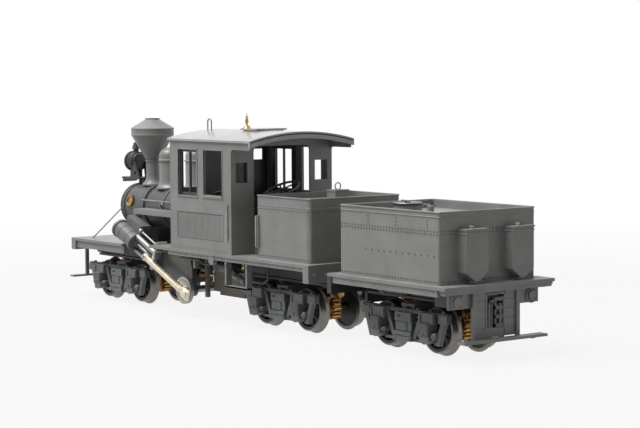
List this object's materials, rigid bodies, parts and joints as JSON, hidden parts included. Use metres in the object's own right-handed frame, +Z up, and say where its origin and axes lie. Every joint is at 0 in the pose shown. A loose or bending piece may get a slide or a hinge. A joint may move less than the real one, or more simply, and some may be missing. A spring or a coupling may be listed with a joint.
{
  "type": "geared steam locomotive model",
  "caption": "Narrow-gauge scale model of a three-truck geared steam locomotive with sloping cylinders, diamond stack, open cab, bunker and a swinging water tender.",
  "frame": {"origin": "centre of the whole model's footprint, at the bottom of the wheel flanges", "axes": "+X towards the tender end, -X towards the smokebox, -Y the locomotive's left side, +Z up"},
  "size_m": [0.1702, 0.0326, 0.0531],
  "materials": {
    "grey_paint": "satin engine grey paint over metal",
    "dark_paint": "satin near-black paint",
    "ash_pan_paint": "matte brownish grey paint",
    "brass": "turned and lightly tarnished",
    "gear_case_brass": "darkened brass",
    "nickel": "satin nickel plate",
    "wheel_steel": "polished tyres with dark centres"
  },
  "bodies": {
    "main_frame": {"main_deck": "grey_paint", "main_sills": "dark_paint", "pilot_deck": "grey_paint", "end_beams": "grey_paint", "front_footboard": "grey_paint", "cab_steps": "grey_paint", "boiler": "grey_paint", "smokebox": "grey_paint", "smokestack": "grey_paint", "domes": "grey_paint", "headlight": "dark_paint", "running_boards": "grey_paint", "handrails": "grey_paint", "builders_plates": "brass", "cab_walls": "grey_paint", "cab_roof": "grey_paint", "window_sashes": "dark_paint", "armrests": "nickel", "backhead": "dark_paint", "whistle": "brass", "roof_loop": "grey_paint", "bunker": "grey_paint", "ash_pan": "ash_pan_paint", "cylinders": "grey_paint", "slide_guides": "nickel", "crank_plates": "grey_paint", "motor": "nickel", "drive_tower": "dark_paint"},
    "centre_shaft": {"centre_shaft": "brass"},
    "hatch_lid": {"bunker_hatch": "grey_paint"},
    "brake": {"brake_wheel": "dark_paint"},
    "crank": {"crankshaft": "nickel"},
    "crosshead_l": {"crosshead_left": "nickel"},
    "crosshead_r": {"crosshead_right": "nickel"},
    "rod_l": {"main_rod_left": "nickel"},
    "rod_r": {"main_rod_right": "nickel"},
    "tender": {"tender_deck": "grey_paint", "tender_beams": "dark_paint", "tender_tank": "grey_paint", "feed_boxes": "grey_paint", "coupler_board": "grey_paint", "rear_footboard": "grey_paint"},
    "tank_lid": {"tank_hatch": "grey_paint"},
    "feed_lid_l": {"feed_lid_left": "grey_paint"},
    "feed_lid_r": {"feed_lid_right": "grey_paint"},
    "front_truck": {"front_truck_frame": "grey_paint", "front_gear_case": "gear_case_brass"},
    "front_shaft": {"front_line_shaft": "brass"},
    "front_axle_a": {"front_wheelset_a": "wheel_steel"},
    "front_axle_b": {"front_wheelset_b": "wheel_steel"},
    "middle_truck": {"middle_truck_frame": "grey_paint", "middle_gear_case": "gear_case_brass"},
    "middle_shaft": {"middle_line_shaft": "brass"},
    "middle_axle_a": {"middle_wheelset_a": "wheel_steel"},
    "middle_axle_b": {"middle_wheelset_b": "wheel_steel"},
    "rear_truck": {"rear_truck_frame": "grey_paint", "rear_gear_case": "gear_case_brass"},
    "rear_shaft": {"rear_line_shaft": "brass"},
    "rear_axle_a": {"rear_wheelset_a": "wheel_steel"},
    "rear_axle_b": {"rear_wheelset_b": "wheel_steel"}
  },
  "joints": [
    {"name": "crank_spin", "type": "hinge", "parent": "main_frame", "child": "crank", "pos_m": [-0.0222, 0, 0.0073], "axis": [0, 1, 0], "continuous": true},
    {"name": "centre_shaft_spin", "type": "hinge", "parent": "main_frame", "child": "centre_shaft", "pos_m": [-0.0222, 0, 0.0097], "axis": [1, 0, 0], "continuous": true},
    {"name": "crosshead_left_slide", "type": "slide", "parent": "main_frame", "child": "crosshead_l", "axis": [-0.9205, 0, 0.3907], "range_m": [0, 0.0038]},
    {"name": "crosshead_right_slide", "type": "slide", "parent": "main_frame", "child": "crosshead_r", "axis": [-0.9205, 0, 0.3907], "range_m": [-0.00181, 0.00199]},
    {"name": "rod_left_swing", "type": "hinge", "parent": "crosshead_l", "child": "rod_l", "pos_m": [-0.0395, -0.0132, 0.01465], "axis": [0, 1, 0], "range_deg": [-5.27, 5.27]},
    {"name": "rod_right_swing", "type": "hinge", "parent": "crosshead_r", "child": "rod_r", "pos_m": [-0.04117, 0.0132, 0.01535], "axis": [0, 1, 0], "range_deg": [-10.53, 0]},
    {"name": "brake_turn", "type": "hinge", "parent": "main_frame", "child": "brake", "pos_m": [0.005, -0.0026, 0.0341], "axis": [0, -0.4067, 0.9135], "continuous": true},
    {"name": "bunker_hatch_lift", "type": "hinge", "parent": "main_frame", "child": "hatch_lid", "pos_m": [0.0175, 0.0044, 0.03415], "axis": [0, -1, 0], "range_deg": [0, 110]},
    {"name": "tender_swing", "type": "hinge", "parent": "main_frame", "child": "tender", "pos_m": [0.0327, 0, 0.015], "axis": [0, 0, 1], "range_deg": [-10, 10]},
    {"name": "tank_hatch_lift", "type": "hinge", "parent": "tender", "child": "tank_lid", "pos_m": [0.0506, -0.0026, 0.0329], "axis": [0, -1, 0], "range_deg": [0, 100]},
    {"name": "feed_lid_left_lift", "type": "hinge", "parent": "tender", "child": "feed_lid_l", "pos_m": [0.07937, -0.0056, 0.0288], "axis": [0, -1, 0], "range_deg": [0, 50]},
    {"name": "feed_lid_right_lift", "type": "hinge", "parent": "tender", "child": "feed_lid_r", "pos_m": [0.07937, 0.008, 0.0288], "axis": [0, -1, 0], "range_deg": [0, 50]},
    {"name": "front_truck_swivel", "type": "hinge", "parent": "main_frame", "child": "front_truck", "pos_m": [-0.0635, 0, 0.012], "axis": [0, 0, 1], "range_deg": [-7, 7]},
    {"name": "front_shaft_spin", "type": "hinge", "parent": "front_truck", "child": "front_shaft", "pos_m": [-0.0635, 0, 0.0097], "axis": [1, 0, 0], "continuous": true},
    {"name": "front_axle_a_spin", "type": "hinge", "parent": "front_truck", "child": "front_axle_a", "pos_m": [-0.0721, 0, 0.00589], "axis": [0, 1, 0], "continuous": true},
    {"name": "front_axle_b_spin", "type": "hinge", "parent": "front_truck", "child": "front_axle_b", "pos_m": [-0.0549, 0, 0.00589], "axis": [0, 1, 0], "continuous": true},
    {"name": "middle_truck_swivel", "type": "hinge", "parent": "main_frame", "child": "middle_truck", "pos_m": [0.0133, 0, 0.012], "axis": [0, 0, 1], "range_deg": [-7, 7]},
    {"name": "middle_shaft_spin", "type": "hinge", "parent": "middle_truck", "child": "middle_shaft", "pos_m": [0.0133, 0, 0.0097], "axis": [1, 0, 0], "continuous": true},
    {"name": "middle_axle_a_spin", "type": "hinge", "parent": "middle_truck", "child": "middle_axle_a", "pos_m": [0.0047, 0, 0.00589], "axis": [0, 1, 0], "continuous": true},
    {"name": "middle_axle_b_spin", "type": "hinge", "parent": "middle_truck", "child": "middle_axle_b", "pos_m": [0.0219, 0, 0.00589], "axis": [0, 1, 0], "continuous": true},
    {"name": "rear_truck_swivel", "type": "hinge", "parent": "tender", "child": "rear_truck", "pos_m": [0.0614, 0, 0.012], "axis": [0, 0, 1], "range_deg": [-7, 7]},
    {"name": "rear_shaft_spin", "type": "hinge", "parent": "rear_truck", "child": "rear_shaft", "pos_m": [0.0614, 0, 0.0097], "axis": [1, 0, 0], "continuous": true},
    {"name": "rear_axle_a_spin", "type": "hinge", "parent": "rear_truck", "child": "rear_axle_a", "pos_m": [0.0528, 0, 0.00589], "axis": [0, 1, 0], "continuous": true},
    {"name": "rear_axle_b_spin", "type": "hinge", "parent": "rear_truck", "child": "rear_axle_b", "pos_m": [0.07, 0, 0.00589], "axis": [0, 1, 0], "continuous": true}
  ],
  "couplings": [
    {"joint": "centre_shaft_spin", "follows": "crank_spin", "ratio": 1},
    {"joint": "front_shaft_spin", "follows": "crank_spin", "ratio": 1},
    {"joint": "front_axle_a_spin", "follows": "crank_spin", "ratio": 0.5},
    {"joint": "front_axle_b_spin", "follows": "crank_spin", "ratio": 0.5},
    {"joint": "middle_shaft_spin", "follows": "crank_spin", "ratio": 1},
    {"joint": "middle_axle_a_spin", "follows": "crank_spin", "ratio": 0.5},
    {"joint": "middle_axle_b_spin", "follows": "crank_spin", "ratio": 0.5},
    {"joint": "rear_shaft_spin", "follows": "crank_spin", "ratio": 1},
    {"joint": "rear_axle_a_spin", "follows": "crank_spin", "ratio": 0.5},
    {"joint": "rear_axle_b_spin", "follows": "crank_spin", "ratio": 0.5}
  ]
}
